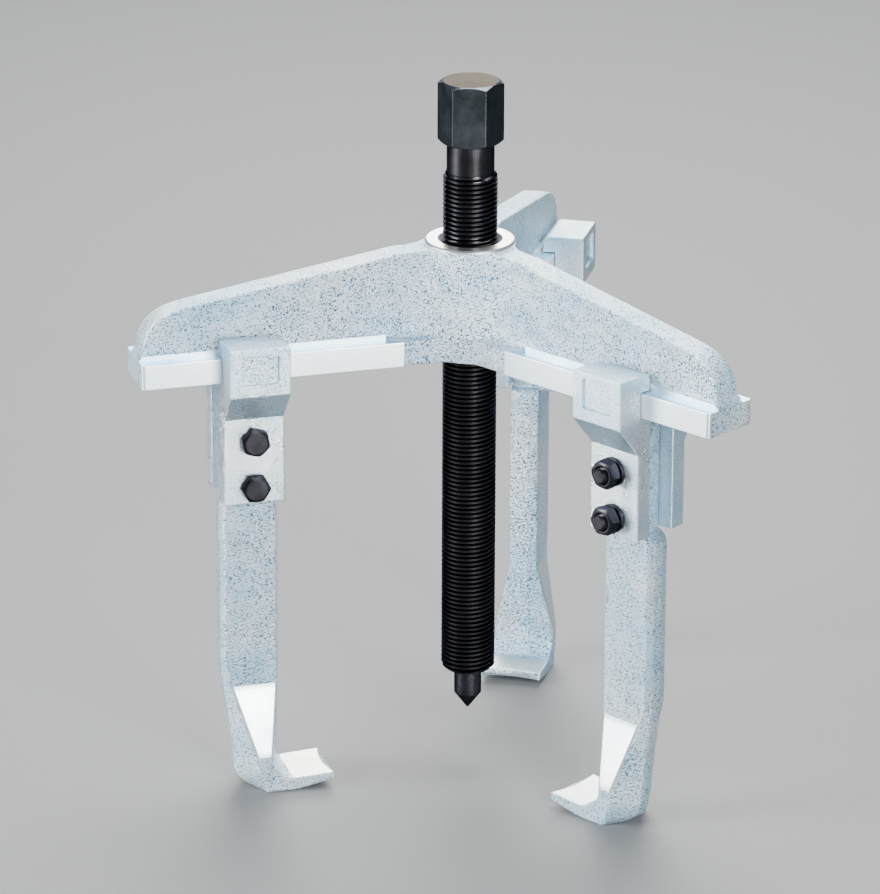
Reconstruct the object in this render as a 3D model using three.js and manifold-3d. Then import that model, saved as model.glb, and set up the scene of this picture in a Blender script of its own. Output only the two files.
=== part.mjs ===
// Three-arm gear puller with sliding clamp-on jaws. Millimetres, +Z up.
// The origin is the centre of the spindle's hex drive face, on the spindle's axis.
// Heights named below are measured from the underside of the crossbeam's rails,
// and radii from the spindle's axis. A jaw's own frame has +X outward along its arm.

import * as THREE from "three";
import { mergeVertices } from "three/addons/utils/BufferGeometryUtils.js";
import Module from "manifold-3d";

const wasm = await Module();
wasm.setup();

// Clearance between neighbouring pieces.
const gap = 0.3;

// Crossbeam: three inverted-T arms round a threaded hub.
const armEnd = 131.5;
const railWidth = 24.3;
const railHeight = 9.6;
const railRootWidth = 23.4;
const railEndRadius = 1.2;
const machinedStart = 29.5;
const webThickness = 11.6;
const webEdgeRadius = 1.3;
const webFootWidth = 13.8;
const webFootTop = 11.6;
const webFootStart = 36;
const webFootEnd = 127.5;
const webEnd = 129.5;
const webTopAtHub = 43.2;
const webSlopeStart = 30;
const webSlopeStartTop = 42.8;
const webSlopeEnd = 112;
const webSlopeEndTop = 29.2;
const webNoseTop = 11;
const webSunk = 1;
const hubRadius = 17.5;
const hubRingRadius = 17.2;
const hubRingTop = 45;
const hubShoulder = 42.6;
const hubFillet = 9;
const hubChamfer = 1.2;

// Spindle: a G 1/2 thread with a 22 mm hexagon, and a pressure tip that stays still as it turns.
const threadRadius = 20.955 / 2;
const spindleTop = 107.3;
const hexAcrossFlats = 22;
const hexBottom = 83.2;
const hexTurn = 40.4;
const neckRadius = 9.15;
const threadTop = 71.9;
const threadBottom = -131;
const threadChamfer = 1.6;
const boreRadius = threadRadius + 0.35;
const boreCountersink = 1.6;
const tipRadius = 5.35;
const tipConeTop = -141.6;
const tipPoint = -148.3;
const tipShankRadius = 3.6;
const tipShankTop = -119;

// Jaws: a forged leg held between two clamp cheeks that hook over the rail.
const jaws = [
  { name: "a", armAngle: 210, radius: 88.8, boltTurns: [12, 28] },
  { name: "b", armAngle: 330, radius: 86.7, boltTurns: [40, 5] },
  { name: "c", armAngle: 90, radius: 107.5, boltTurns: [22, 50] },
];
const cheekWidth = 23.6;
const cheekLipInner = 7.3;
const cheekTop = 16.4;
const cheekHeadFace = 23.9;
const cheekHeadBottom = -2.6;
const cheekPlateFace = 13.2;
const cheekPlateTop = -14.8;
const cheekPlateBottom = -49.1;
const recessWidth = 14.8;
const recessBottom = 2.1;
const recessTop = 14.1;
const recessDepth = 0.9;
const recessCornerRadius = 1.5;

// Leg: half its thickness, and the trimmed flash band along the middle of its narrow sides.
const legHalf = 5.9;
const bandHalf = 2.1;
const clawHalf = 12.25;
const clawTip = -31;
const clawTipTop = -164;
const clawTopSlope = Math.tan(THREE.MathUtils.degToRad(3));
const clawTipBottom = -167.3;
const clawFilletRadius = 4.4;
const clawTipArcRadius = 36;
const clawTipArcDepth = 2;
const clawTipArcTop = -150;
const legInnerBand = -10.6;
const footBottom = -170;
const footEnd = -17;

// Hexagons: how far the turned end face stays inside the flats, and the chamfer's angle.
const hexRelief = 0.3;
const hexChamferAngle = 30;

// Clamp bolts: M6, with a spring lock washer under each nut.
const boltHeights = { upper: -23.6, lower: -42.1 };
const boltRadius = 3;
const boltHoleRadius = boltRadius + gap;
const boltAcrossFlats = 10;
const boltHeadHeight = 4;
const washerRadius = 5.6;
const washerThickness = 1.6;
const washerSplit = 12;
const nutHeight = 5;
const boltProjection = 1.3;

const degrees = THREE.MathUtils.degToRad;

// Turns a closed three.js geometry into a solid for joining and cutting.
function solid(geometry) {
  const bare = geometry.index ? geometry.toNonIndexed() : geometry.clone();
  bare.deleteAttribute("normal");
  bare.deleteAttribute("uv");
  const merged = mergeVertices(bare, 1e-4);
  const mesh = new wasm.Mesh({
    numProp: 3,
    vertProperties: merged.attributes.position.array,
    triVerts: new Uint32Array(merged.index.array),
  });
  return new wasm.Manifold(mesh);
}

// Turns a solid back into a three.js geometry.
function geometryOf(manifold) {
  const mesh = manifold.getMesh();
  const geometry = new THREE.BufferGeometry();
  geometry.setAttribute("position", new THREE.BufferAttribute(mesh.vertProperties, 3));
  geometry.setIndex(new THREE.BufferAttribute(mesh.triVerts, 1));
  geometry.computeVertexNormals();
  return geometry;
}

// A turned solid about Z from [radius, height] pairs that start and end on the axis.
function turned(profile, segments = 40) {
  const points = profile.map(([radius, height]) => new THREE.Vector2(radius, height));
  return solid(new THREE.LatheGeometry(points, segments).rotateX(Math.PI / 2));
}

// A flat shape in plan, pulled up from one height to another.
function pulledUp(shape, bottom, top, curveSegments = 12) {
  const options = { depth: top - bottom, bevelEnabled: false, curveSegments };
  return solid(new THREE.ExtrudeGeometry(shape, options).translate(0, 0, bottom));
}

// A shape drawn in (X, Z), pulled along Y and centred on Y = 0.
function pulledAcross(shape, width, curveSegments = 12) {
  const options = { depth: width, bevelEnabled: false, curveSegments };
  const geometry = new THREE.ExtrudeGeometry(shape, options);
  return solid(geometry.translate(0, 0, -width / 2).rotateX(Math.PI / 2));
}

// A shape drawn in (Y, Z), pulled along X and centred on X = 0.
function pulledAlong(shape, length) {
  const geometry = new THREE.ExtrudeGeometry(shape, { depth: length, bevelEnabled: false });
  const basis = new THREE.Matrix4().makeBasis(
    new THREE.Vector3(0, 1, 0),
    new THREE.Vector3(0, 0, 1),
    new THREE.Vector3(1, 0, 0),
  );
  return solid(geometry.translate(0, 0, -length / 2).applyMatrix4(basis));
}

// A six-sided bar about Z with both ends chamfered, as bolt heads and nuts are turned.
function hexagon(acrossFlats, bottom, top, turn) {
  const corner = acrossFlats / Math.sqrt(3);
  const height = top - bottom;
  const bar = new THREE.CylinderGeometry(corner, corner, height, 6)
    .rotateX(Math.PI / 2)
    .rotateZ(degrees(turn))
    .translate(0, 0, (top + bottom) / 2);
  const flat = acrossFlats / 2 - hexRelief;
  const rise = (corner - flat) * Math.tan(degrees(hexChamferAngle));
  const chamfer = turned([
    [0, bottom],
    [flat, bottom],
    [corner + 0.1, bottom + rise],
    [corner + 0.1, top - rise],
    [flat, top],
    [0, top],
  ], 24);
  return solid(bar).intersect(chamfer);
}

// A cylinder about Z.
function round(radius, bottom, top, segments = 32) {
  return turned([[0, bottom], [radius, bottom], [radius, top], [0, top]], segments);
}

// A closed solid through sections that all have the same number of corners.
// Each section is a list of [x, y] corners, anticlockwise, at its own height; heights rise.
function lofted(sections) {
  const corners = sections[0].outline.length;
  const positions = sections.flatMap(({ height, outline }) =>
    outline.flatMap(([x, y]) => [x, y, height]));
  const faces = [];
  for (let row = 0; row + 1 < sections.length; row += 1) {
    for (let corner = 0; corner < corners; corner += 1) {
      const next = (corner + 1) % corners;
      const low = row * corners;
      const high = low + corners;
      faces.push(low + corner, low + next, high + next);
      faces.push(low + corner, high + next, high + corner);
    }
  }
  const last = (sections.length - 1) * corners;
  for (let corner = 1; corner + 1 < corners; corner += 1) {
    faces.push(0, corner + 1, corner);
    faces.push(last, last + corner, last + corner + 1);
  }
  const geometry = new THREE.BufferGeometry();
  geometry.setAttribute("position", new THREE.Float32BufferAttribute(positions, 3));
  geometry.setIndex(faces);
  return solid(geometry);
}

// The plan of an arm's root: it leaves the hub's circle in two concave fillets.
function armRootPlan(halfWidth) {
  const filletY = halfWidth + hubFillet;
  const filletX = Math.sqrt((hubRadius + hubFillet) ** 2 - filletY ** 2);
  const tangent = Math.atan2(filletY, filletX);
  const plan = new THREE.Shape();
  plan.moveTo(0, 0);
  plan.lineTo(hubRadius * Math.cos(tangent), -hubRadius * Math.sin(tangent));
  plan.absarc(filletX, -filletY, hubFillet, Math.PI - tangent, Math.PI / 2, true);
  plan.lineTo(filletX, halfWidth);
  plan.absarc(filletX, filletY, hubFillet, -Math.PI / 2, tangent - Math.PI, true);
  plan.lineTo(0, 0);
  return plan;
}

// The rail that the cheeks hook over, with its outer corners rounded in plan.
function railSolid() {
  const half = railWidth / 2;
  const rootHalf = railRootWidth / 2;
  const plan = new THREE.Shape();
  plan.moveTo(0, -rootHalf);
  plan.lineTo(machinedStart, -rootHalf);
  plan.lineTo(machinedStart, -half);
  plan.lineTo(armEnd - railEndRadius, -half);
  plan.absarc(armEnd - railEndRadius, -half + railEndRadius, railEndRadius, -Math.PI / 2, 0);
  plan.absarc(armEnd - railEndRadius, half - railEndRadius, railEndRadius, 0, Math.PI / 2);
  plan.lineTo(machinedStart, half);
  plan.lineTo(machinedStart, rootHalf);
  plan.lineTo(0, rootHalf);
  plan.lineTo(0, -rootHalf);
  return pulledUp(plan, 0, railHeight, 4);
}

// The upright web: it slopes down from the hub and rounds over at the arm's end.
function webSolid() {
  const outline = new THREE.Shape();
  outline.moveTo(0, webSunk);
  outline.lineTo(webEnd, webSunk);
  outline.lineTo(webEnd, webNoseTop);
  outline.bezierCurveTo(webEnd - 0.5, 19.5, webEnd - 5.5, 27, webSlopeEnd, webSlopeEndTop);
  outline.lineTo(webSlopeStart, webSlopeStartTop);
  outline.lineTo(0, webTopAtHub);
  outline.lineTo(0, webSunk);
  const web = new THREE.ExtrudeGeometry(outline, {
    depth: webThickness - 2 * webEdgeRadius,
    bevelThickness: webEdgeRadius,
    bevelSize: webEdgeRadius,
    bevelOffset: -webEdgeRadius,
    bevelSegments: 3,
    curveSegments: 10,
  });
  web.translate(0, 0, -webThickness / 2 + webEdgeRadius).rotateX(Math.PI / 2);
  const foot = new THREE.BoxGeometry(webFootEnd - webFootStart, webFootWidth, webFootTop - webSunk);
  foot.translate((webFootStart + webFootEnd) / 2, 0, (webFootTop + webSunk) / 2);
  return solid(web).add(solid(foot));
}

function crossbeamSolid() {
  const hub = turned([
    [0, 0],
    [hubRadius - hubChamfer, 0],
    [hubRadius, hubChamfer],
    [hubRadius, hubShoulder],
    [hubRingRadius, hubShoulder + 0.4],
    [hubRingRadius, hubRingTop - hubChamfer],
    [hubRingRadius - hubChamfer, hubRingTop],
    [0, hubRingTop],
  ]);
  const arm = railSolid()
    .add(webSolid())
    .add(pulledUp(armRootPlan(railRootWidth / 2), 0, railHeight))
    .add(pulledUp(armRootPlan(webThickness / 2), 0, hubShoulder));
  let beam = hub;
  for (const { armAngle } of jaws) {
    beam = beam.add(arm.rotate([0, 0, armAngle]));
  }
  const mouth = boreRadius + boreCountersink;
  const bore = turned([
    [0, -1],
    [mouth, -1],
    [mouth, 0],
    [boreRadius, boreCountersink],
    [boreRadius, hubRingTop - boreCountersink],
    [mouth, hubRingTop],
    [mouth, hubRingTop + 1],
    [0, hubRingTop + 1],
  ]);
  return beam.subtract(bore);
}

// The spindle: hexagon, plain neck and thread, with a blind bore for the pressure tip's shank.
function spindleSolid() {
  const body = turned([
    [0, threadBottom],
    [threadRadius - threadChamfer, threadBottom],
    [threadRadius, threadBottom + threadChamfer],
    [threadRadius, threadTop - threadChamfer],
    [threadRadius - threadChamfer, threadTop],
    [neckRadius, threadTop + 0.2],
    [neckRadius, hexBottom + 1],
    [0, hexBottom + 1],
  ]);
  const socket = round(tipShankRadius + gap, threadBottom - 1, tipShankTop + gap, 24);
  const hex = hexagon(hexAcrossFlats, hexBottom, spindleTop, hexTurn);
  return body.add(hex).subtract(socket);
}

function spindleTipSolid() {
  return turned([
    [0, tipPoint],
    [tipRadius, tipConeTop],
    [tipRadius, threadBottom - gap],
    [tipShankRadius, threadBottom - gap],
    [tipShankRadius, tipShankTop],
    [0, tipShankTop],
  ], 32);
}

// One cheek: a plate beside the leg whose head wraps the rail.
// Side is 1 to the arm's left, -1 to its right.
function cheekSolid(side) {
  const inner = legHalf + gap;
  const railSide = railWidth / 2 + gap;
  const profile = new THREE.Shape([
    [cheekLipInner, railHeight + gap],
    [cheekLipInner, cheekTop],
    [cheekHeadFace, cheekTop],
    [cheekHeadFace, cheekHeadBottom],
    [cheekPlateFace, cheekPlateTop],
    [cheekPlateFace, cheekPlateBottom],
    [inner, cheekPlateBottom],
    [inner, -gap],
    [railSide, -gap],
    [railSide, railHeight + gap],
  ].map(([across, height]) => new THREE.Vector2(side * across, height)));
  let cheek = pulledAlong(profile, cheekWidth);
  const halfRecess = recessWidth / 2;
  const recess = new THREE.Shape();
  const corner = recessCornerRadius;
  recess.absarc(halfRecess - corner, recessBottom + corner, corner, -Math.PI / 2, 0);
  recess.absarc(halfRecess - corner, recessTop - corner, corner, 0, Math.PI / 2);
  recess.absarc(corner - halfRecess, recessTop - corner, corner, Math.PI / 2, Math.PI);
  recess.absarc(corner - halfRecess, recessBottom + corner, corner, Math.PI, 1.5 * Math.PI);
  const tool = pulledAcross(recess, 2 * recessDepth, 4);
  cheek = cheek.subtract(tool.translate([0, side * cheekHeadFace, 0]));
  return cheek.subtract(boltHoles());
}

// Two clearance holes across the jaw, for cutting cheeks and legs.
function boltHoles() {
  const across = round(boltHoleRadius, -cheekHeadFace, cheekHeadFace, 16).rotate([90, 0, 0]);
  const upper = across.translate([0, 0, boltHeights.upper]);
  return upper.add(across.translate([0, 0, boltHeights.lower]));
}

// The leg's eight-sided section: broad faces, bevelled to a narrow band on its two narrow sides.
function legSection(height, faceIn, faceOut, half, bandIn, bandOut) {
  const outline = [
    [bandIn, -bandHalf],
    [faceIn, -half],
    [faceOut, -half],
    [bandOut, -bandHalf],
    [bandOut, bandHalf],
    [faceOut, half],
    [faceIn, half],
    [bandIn, bandHalf],
  ];
  return { height, outline };
}

function legSolid() {
  const shank = lofted([
    legSection(footBottom, -6.6, -4.4, clawHalf, legInnerBand, -2.6),
    legSection(footBottom + 1, -6.6, -2.8, clawHalf, legInnerBand, 0.4),
    legSection(footBottom + 4, -6.6, -1, clawHalf, legInnerBand, 3.8),
    legSection(footBottom + 9, -6.6, -0.2, clawHalf, legInnerBand, 5.9),
    legSection(-155, -6.6, -0.6, clawHalf, legInnerBand, 6.6),
    legSection(-140, -8.9, 3.6, 9.2, -10.9, 8.5),
    legSection(-126, -10, 8, 6.1, -11.1, 10.6),
    legSection(-117, -10.3, 10.4, legHalf, -11.2, 11.4),
    legSection(-54, -10.3, 10.4, legHalf, -11.2, 11.4),
    legSection(-51, -8.4, 8.4, legHalf, -9.2, 9.2),
    legSection(cheekPlateBottom - 0.8, -5.6, 5.6, legHalf, -6.6, 6.6),
    legSection(-3.5, -5.6, 5.6, legHalf, -6.6, 6.6),
  ]);
  const filletStart = legInnerBand - clawFilletRadius;
  const rootTop = clawTipTop - (filletStart - clawTip) * clawTopSlope;
  const profile = new THREE.Shape();
  profile.moveTo(clawTip - 1, clawTipTop + clawTopSlope);
  profile.lineTo(clawTip - 1, clawTipBottom);
  profile.lineTo(footEnd, footBottom);
  profile.lineTo(-5, footBottom);
  profile.lineTo(-5, rootTop + clawFilletRadius);
  profile.lineTo(legInnerBand, rootTop + clawFilletRadius);
  profile.absarc(filletStart, rootTop + clawFilletRadius, clawFilletRadius, 0, -Math.PI / 2, true);
  const arcCentre = clawTip + clawTipArcDepth - clawTipArcRadius;
  const arcTool = round(clawTipArcRadius, footBottom - 1, clawTipArcTop, 60).translate([arcCentre, 0, 0]);
  const claw = pulledAcross(profile, 2 * clawHalf, 6).subtract(arcTool);
  return shank.add(claw).subtract(boltHoles());
}

// A clamp bolt about Y: its head lies on the left cheek and its end stands out of the nut.
function boltSolid(turn) {
  const headSeat = cheekPlateFace + gap;
  const end = -(cheekPlateFace + washerThickness + nutHeight + 3 * gap + boltProjection);
  const shank = turned([
    [0, end],
    [boltRadius - 0.6, end],
    [boltRadius, end + 0.6],
    [boltRadius, headSeat + 1],
    [0, headSeat + 1],
  ], 16);
  const head = hexagon(boltAcrossFlats, headSeat, headSeat + boltHeadHeight, turn);
  return shank.add(head).rotate([-90, 0, 0]);
}

// A spring lock washer about Y: a ring that is split on one side.
function washerSolid(turn) {
  const outer = cheekPlateFace + gap;
  const start = degrees(washerSplit / 2);
  const end = 2 * Math.PI - start;
  const ring = new THREE.Shape();
  ring.absarc(0, 0, washerRadius, start, end);
  ring.absarc(0, 0, boltHoleRadius, end, start, true);
  const washer = pulledUp(ring, -outer - washerThickness, -outer);
  return washer.rotate([0, 0, turn]).rotate([-90, 0, 0]);
}

function nutSolid(turn) {
  const seat = -(cheekPlateFace + washerThickness + 2 * gap);
  const nut = hexagon(boltAcrossFlats, seat - nutHeight, seat, turn);
  return nut.subtract(round(boltHoleRadius, seat - nutHeight - 1, seat + 1, 16)).rotate([-90, 0, 0]);
}

function piece(name, shape, material) {
  const mesh = new THREE.Mesh(geometryOf(shape), material.clone());
  mesh.name = name;
  return mesh;
}

function metal(color, roughness, metalness = 1) {
  return new THREE.MeshStandardMaterial({ color, roughness, metalness });
}

const zincForging = metal(0xc3d2da, 0.42);
const zincMachined = metal(0xd2dee4, 0.3);
const blackOxide = metal(0x26272b, 0.4);
const blackFastener = metal(0x2b2b30, 0.45);

function jawGroup({ name, armAngle, radius, boltTurns }) {
  const jaw = new THREE.Group();
  jaw.add(piece(`jaw_${name}_leg`, legSolid(), zincForging));
  jaw.add(piece(`jaw_${name}_cheek_left`, cheekSolid(1), zincMachined));
  jaw.add(piece(`jaw_${name}_cheek_right`, cheekSolid(-1), zincMachined));
  Object.entries(boltHeights).forEach(([place, height], index) => {
    const turn = boltTurns[index];
    const set = new THREE.Group();
    set.add(piece(`jaw_${name}_bolt_${place}`, boltSolid(turn), blackFastener));
    set.add(piece(`jaw_${name}_washer_${place}`, washerSolid(3 * turn), blackFastener));
    set.add(piece(`jaw_${name}_nut_${place}`, nutSolid(2 * turn + 15), blackFastener));
    set.position.z = height;
    jaw.add(set);
  });
  jaw.position.set(
    radius * Math.cos(degrees(armAngle)),
    radius * Math.sin(degrees(armAngle)),
    0,
  );
  jaw.rotation.z = degrees(armAngle);
  return jaw;
}

const puller = new THREE.Group();
puller.add(piece("crossbeam", crossbeamSolid(), zincForging));
puller.add(piece("spindle", spindleSolid(), blackOxide));
puller.add(piece("spindle_tip", spindleTipSolid(), blackOxide));
for (const jaw of jaws) {
  puller.add(jawGroup(jaw));
}
puller.position.z = -spindleTop;

export default puller;
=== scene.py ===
"""Three-arm gear puller with sliding clamp-on jaws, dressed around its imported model."""

import bmesh
import bpy
from math import atan2, cos, hypot, pi, radians, sin, sqrt, tan
from mathutils import Matrix, Vector


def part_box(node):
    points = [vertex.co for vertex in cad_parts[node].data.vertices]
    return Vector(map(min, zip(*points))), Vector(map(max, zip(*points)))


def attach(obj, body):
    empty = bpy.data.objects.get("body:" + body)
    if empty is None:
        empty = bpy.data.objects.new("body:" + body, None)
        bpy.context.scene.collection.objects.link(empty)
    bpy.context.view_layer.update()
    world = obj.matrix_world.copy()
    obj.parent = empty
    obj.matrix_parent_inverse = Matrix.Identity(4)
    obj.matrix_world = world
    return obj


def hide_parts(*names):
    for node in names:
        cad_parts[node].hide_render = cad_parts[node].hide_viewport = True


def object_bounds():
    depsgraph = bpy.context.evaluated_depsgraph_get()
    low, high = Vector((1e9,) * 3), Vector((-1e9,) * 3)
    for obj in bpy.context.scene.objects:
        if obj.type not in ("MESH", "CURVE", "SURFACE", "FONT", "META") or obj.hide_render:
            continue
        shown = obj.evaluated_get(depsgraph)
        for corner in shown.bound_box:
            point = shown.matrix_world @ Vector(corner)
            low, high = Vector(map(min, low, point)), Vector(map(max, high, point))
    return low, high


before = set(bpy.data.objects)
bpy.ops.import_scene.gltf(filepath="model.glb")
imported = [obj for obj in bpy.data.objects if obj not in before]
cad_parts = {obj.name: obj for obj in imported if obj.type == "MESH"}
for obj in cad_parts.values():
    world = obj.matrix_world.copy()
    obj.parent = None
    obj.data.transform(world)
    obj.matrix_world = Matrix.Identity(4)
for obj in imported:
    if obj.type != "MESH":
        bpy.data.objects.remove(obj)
cad_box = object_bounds()

# The studio: a long-lens camera on a stand, a plain pale floor that runs out of sight, and four
# large soft lamps, left, in front, overhead and behind, that the plated steel mirrors.
mm = 0.001
scene = bpy.context.scene
floor_height = cad_box[0].z
floor_reach = 8
sky_colour = (0.35, 0.55, 0.8, 1)
sky_strength = 0.25
paper_colour = (0.115, 0.121, 0.127, 1)

camera_azimuth = radians(13.22)
camera_elevation = radians(20.16)
camera_distance = 2.038
camera_roll = radians(0.32)
aim = Vector((0, 0, -0.14706))

camera_data = bpy.data.cameras.new("camera")
camera_data.lens = 212.7
camera_data.shift_x = -0.0324
camera = bpy.data.objects.new("camera", camera_data)
scene.collection.objects.link(camera)
back = Vector((
    sin(camera_azimuth) * cos(camera_elevation),
    -cos(camera_azimuth) * cos(camera_elevation),
    sin(camera_elevation),
))
camera.location = aim + back * camera_distance
camera.rotation_mode = "QUATERNION"
roll = Matrix.Rotation(camera_roll, 3, "Z").to_quaternion()
camera.rotation_quaternion = back.to_track_quat("Z", "Y") @ roll
scene.camera = camera


def lamp(name, power, size, azimuth, elevation, distance, colour=(1, 1, 1)):
    """A square soft box aimed at the tool, placed by its bearing from the camera's side."""
    data = bpy.data.lights.new(name, "AREA")
    data.shape = "RECTANGLE"
    data.size, data.size_y = size
    data.energy = power
    data.color = colour
    light = bpy.data.objects.new(name, data)
    turn = camera_azimuth + radians(azimuth)
    rise = radians(elevation)
    away = Vector((sin(turn) * cos(rise), -cos(turn) * cos(rise), sin(rise)))
    light.location = aim + away * distance
    light.rotation_mode = "QUATERNION"
    light.rotation_quaternion = away.to_track_quat("Z", "Y")
    light.visible_camera = False
    scene.collection.objects.link(light)


lamp("overhead_box", 56, (0.9, 0.9), 165, 66, 1.5, (1.0, 0.98, 0.94))
lamp("left_box", 56, (0.6, 0.9), -74, 15, 1.3, (1.0, 0.98, 0.95))
lamp("front_box", 54, (0.55, 0.9), 26, 14, 1.4, (1.0, 0.98, 0.95))
lamp("rear_box", 30, (1.1, 0.8), 180, 24, 1.7, (1.0, 0.97, 0.91))

world = bpy.data.worlds.new("studio")
world.use_nodes = True
world.node_tree.nodes["Background"].inputs["Color"].default_value = sky_colour
world.node_tree.nodes["Background"].inputs["Strength"].default_value = sky_strength
scene.world = world

floor_mesh = bpy.data.meshes.new("floor")
floor_bm = bmesh.new()
bmesh.ops.create_grid(floor_bm, x_segments=1, y_segments=1, size=floor_reach)
bmesh.ops.translate(floor_bm, verts=floor_bm.verts, vec=(0, 0, floor_height))
floor_bm.to_mesh(floor_mesh)
floor_bm.free()
floor_finish = bpy.data.materials.new("floor_paper")
floor_finish.use_nodes = True
floor_shader = floor_finish.node_tree.nodes["Principled BSDF"]
floor_shader.inputs["Base Color"].default_value = paper_colour
floor_shader.inputs["Roughness"].default_value = 0.6
floor_mesh.materials.append(floor_finish)
floor = bpy.data.objects.new("floor", floor_mesh)
scene.collection.objects.link(floor)


# Crossbeam: one drop forging of three inverted-T arms round a threaded hub, shot-blasted and
# zinc-plated. The rails that the cheeks slide on and the hub's face are machined after forging.
arm_end = 131.5
arm_end_corner = 1.2
rail_half = 12.15
root_half = 11.7
rail_top = 9.6
root_top = 9.8
forged_edge = 0.9
machined_edge = 0.25
web_half = 5.8
web_half_top = 5.55
web_edge = 1.0
foot_half = 6.9
foot_top = 11.6
machined_start = 29.5
foot_start = 36
web_top_start = 30
web_top_root = 42.8
web_slope_end = 112
web_slope_top = 29.2
web_nose = 129.4
web_nose_foot = 15
hub_radius = 17.5
hub_top = 43.9
hub_fillet = 9
ring_radius = 17.2
ring_top = 45
ring_chamfer = 0.5
bore_radius = 10.83
bore_countersink = 1.6
web_tail = 23
rail_tail = 22
hub_rise = 5.5
web_foot_rise = 2
foot_back = 1.8
nose_back = 1.5
run_out = ((21, 26, 25, 4), (26, 30.5, 27.5, 2.4), (31, foot_start - 1, machined_start, 1.3))
root_steps = 20
straight_steps = (40, 52, 64, 76, 88, 100)
nose_steps = 14
end_steps = 8
rail_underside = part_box("crossbeam")[0].z


def shader_group(name, inputs, outputs):
    """A new shader node group with float inputs and outputs, and its two ends."""
    group = bpy.data.node_groups.new(name, "ShaderNodeTree")
    for label, value in inputs.items():
        socket = group.interface.new_socket(
            name=label, in_out="INPUT", socket_type="NodeSocketFloat")
        socket.default_value = value
    for label in outputs:
        group.interface.new_socket(name=label, in_out="OUTPUT", socket_type="NodeSocketFloat")
    return group, group.nodes.new("NodeGroupInput"), group.nodes.new("NodeGroupOutput")


def maths(tree, operation, first, second):
    """A Math node fed by two sockets or numbers. Returns its result."""
    node = tree.nodes.new("ShaderNodeMath")
    node.operation = operation
    for socket, value in zip(node.inputs, (first, second)):
        if isinstance(value, (int, float)):
            socket.default_value = value
        else:
            tree.links.new(value, socket)
    return node.outputs[0]


def texture(tree, kind, vector, scale, **settings):
    """A noise or Voronoi texture on the given coordinates. Returns the node."""
    node = tree.nodes.new(kind)
    tree.links.new(vector, node.inputs["Vector"])
    if isinstance(scale, (int, float)):
        node.inputs["Scale"].default_value = scale
    else:
        tree.links.new(scale, node.inputs["Scale"])
    for label, value in settings.items():
        node.inputs[label].default_value = value
    return node


def blasted_skin():
    """Shot-blasted forging skin: a close grain with pits where it runs lowest, as a height, and
    the pits by themselves, as a mask. Stretch above 1 flattens the grain into level dashes."""
    group, given, made = shader_group(
        "blasted_skin", {"Grain Scale": 1000, "Stretch": 1, "Pit Level": 0.46, "Pit Depth": 0.4},
        ("Height", "Pits"))
    place = group.nodes.new("ShaderNodeTexCoord").outputs["Object"]
    factors = group.nodes.new("ShaderNodeCombineXYZ")
    factors.inputs["X"].default_value = 1
    factors.inputs["Y"].default_value = 1
    group.links.new(given.outputs["Stretch"], factors.inputs["Z"])
    squashed = group.nodes.new("ShaderNodeVectorMath")
    squashed.operation = "MULTIPLY"
    group.links.new(place, squashed.inputs[0])
    group.links.new(factors.outputs[0], squashed.inputs[1])
    grain = texture(
        group, "ShaderNodeTexNoise", squashed.outputs[0], given.outputs["Grain Scale"],
        Detail=3, Roughness=0.62)
    cast = texture(group, "ShaderNodeTexNoise", place, 130, Detail=2)
    uneven = maths(group, "MULTIPLY", maths(group, "SUBTRACT", cast.outputs[0], 0.5), 0.12)
    level = maths(group, "SUBTRACT", given.outputs["Pit Level"], uneven)
    low = maths(group, "MULTIPLY", maths(group, "SUBTRACT", level, grain.outputs[0]), 12)
    pits = maths(group, "MINIMUM", maths(group, "MAXIMUM", low, 0), 1)
    sunk = maths(group, "MULTIPLY", pits, given.outputs["Pit Depth"])
    group.links.new(maths(group, "SUBTRACT", grain.outputs[0], sunk), made.inputs["Height"])
    group.links.new(pits, made.inputs["Pits"])
    return group


def plating_tone():
    """Zinc plating's slow drift between silver and pale blue, as a mask from 0 to 1."""
    group, given, made = shader_group("plating_tone", {"Scale": 28}, ("Tone",))
    place = group.nodes.new("ShaderNodeTexCoord").outputs["Object"]
    drift = texture(group, "ShaderNodeTexNoise", place, given.outputs["Scale"], Detail=4, Roughness=0.6)
    spread = maths(group, "MULTIPLY", maths(group, "SUBTRACT", drift.outputs[0], 0.35), 3)
    clear = group.nodes.new("ShaderNodeClamp")
    group.links.new(spread, clear.inputs["Value"])
    group.links.new(clear.outputs[0], made.inputs["Tone"])
    return group


def cutter_marks():
    """Fine parallel marks of a milling cutter or a grinding belt, running across Z, as a height."""
    group, given, made = shader_group("cutter_marks", {"Pitch": 2600, "Waver": 60}, ("Height",))
    place = group.nodes.new("ShaderNodeTexCoord").outputs["Object"]
    stretch = group.nodes.new("ShaderNodeMapping")
    stretch.inputs["Scale"].default_value = (0.03, 0.03, 1)
    group.links.new(place, stretch.inputs["Vector"])
    lines = texture(group, "ShaderNodeTexNoise", stretch.outputs[0], given.outputs["Pitch"], Detail=2)
    waver = texture(group, "ShaderNodeTexNoise", place, given.outputs["Waver"], Detail=1)
    group.links.new(maths(group, "MULTIPLY", lines.outputs[0], waver.outputs[0]), made.inputs["Height"])
    return group


skin_group = blasted_skin()
tone_group = plating_tone()
marks_group = cutter_marks()


def use_group(tree, group, **values):
    """Places a shared group in a material with its own values."""
    node = tree.nodes.new("ShaderNodeGroup")
    node.node_tree = group
    for label, value in values.items():
        node.inputs[label.replace("_", " ")].default_value = value
    return node


def colour_mix(tree, factor, first, second):
    """Blends two colours by a mask. Returns the colour socket."""
    node = tree.nodes.new("ShaderNodeMix")
    node.data_type = "RGBA"
    tree.links.new(factor, node.inputs[0])
    for socket, value in ((node.inputs[6], first), (node.inputs[7], second)):
        if isinstance(value, tuple):
            socket.default_value = (*value, 1)
        else:
            tree.links.new(value, socket)
    return node.outputs[2]


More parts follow.
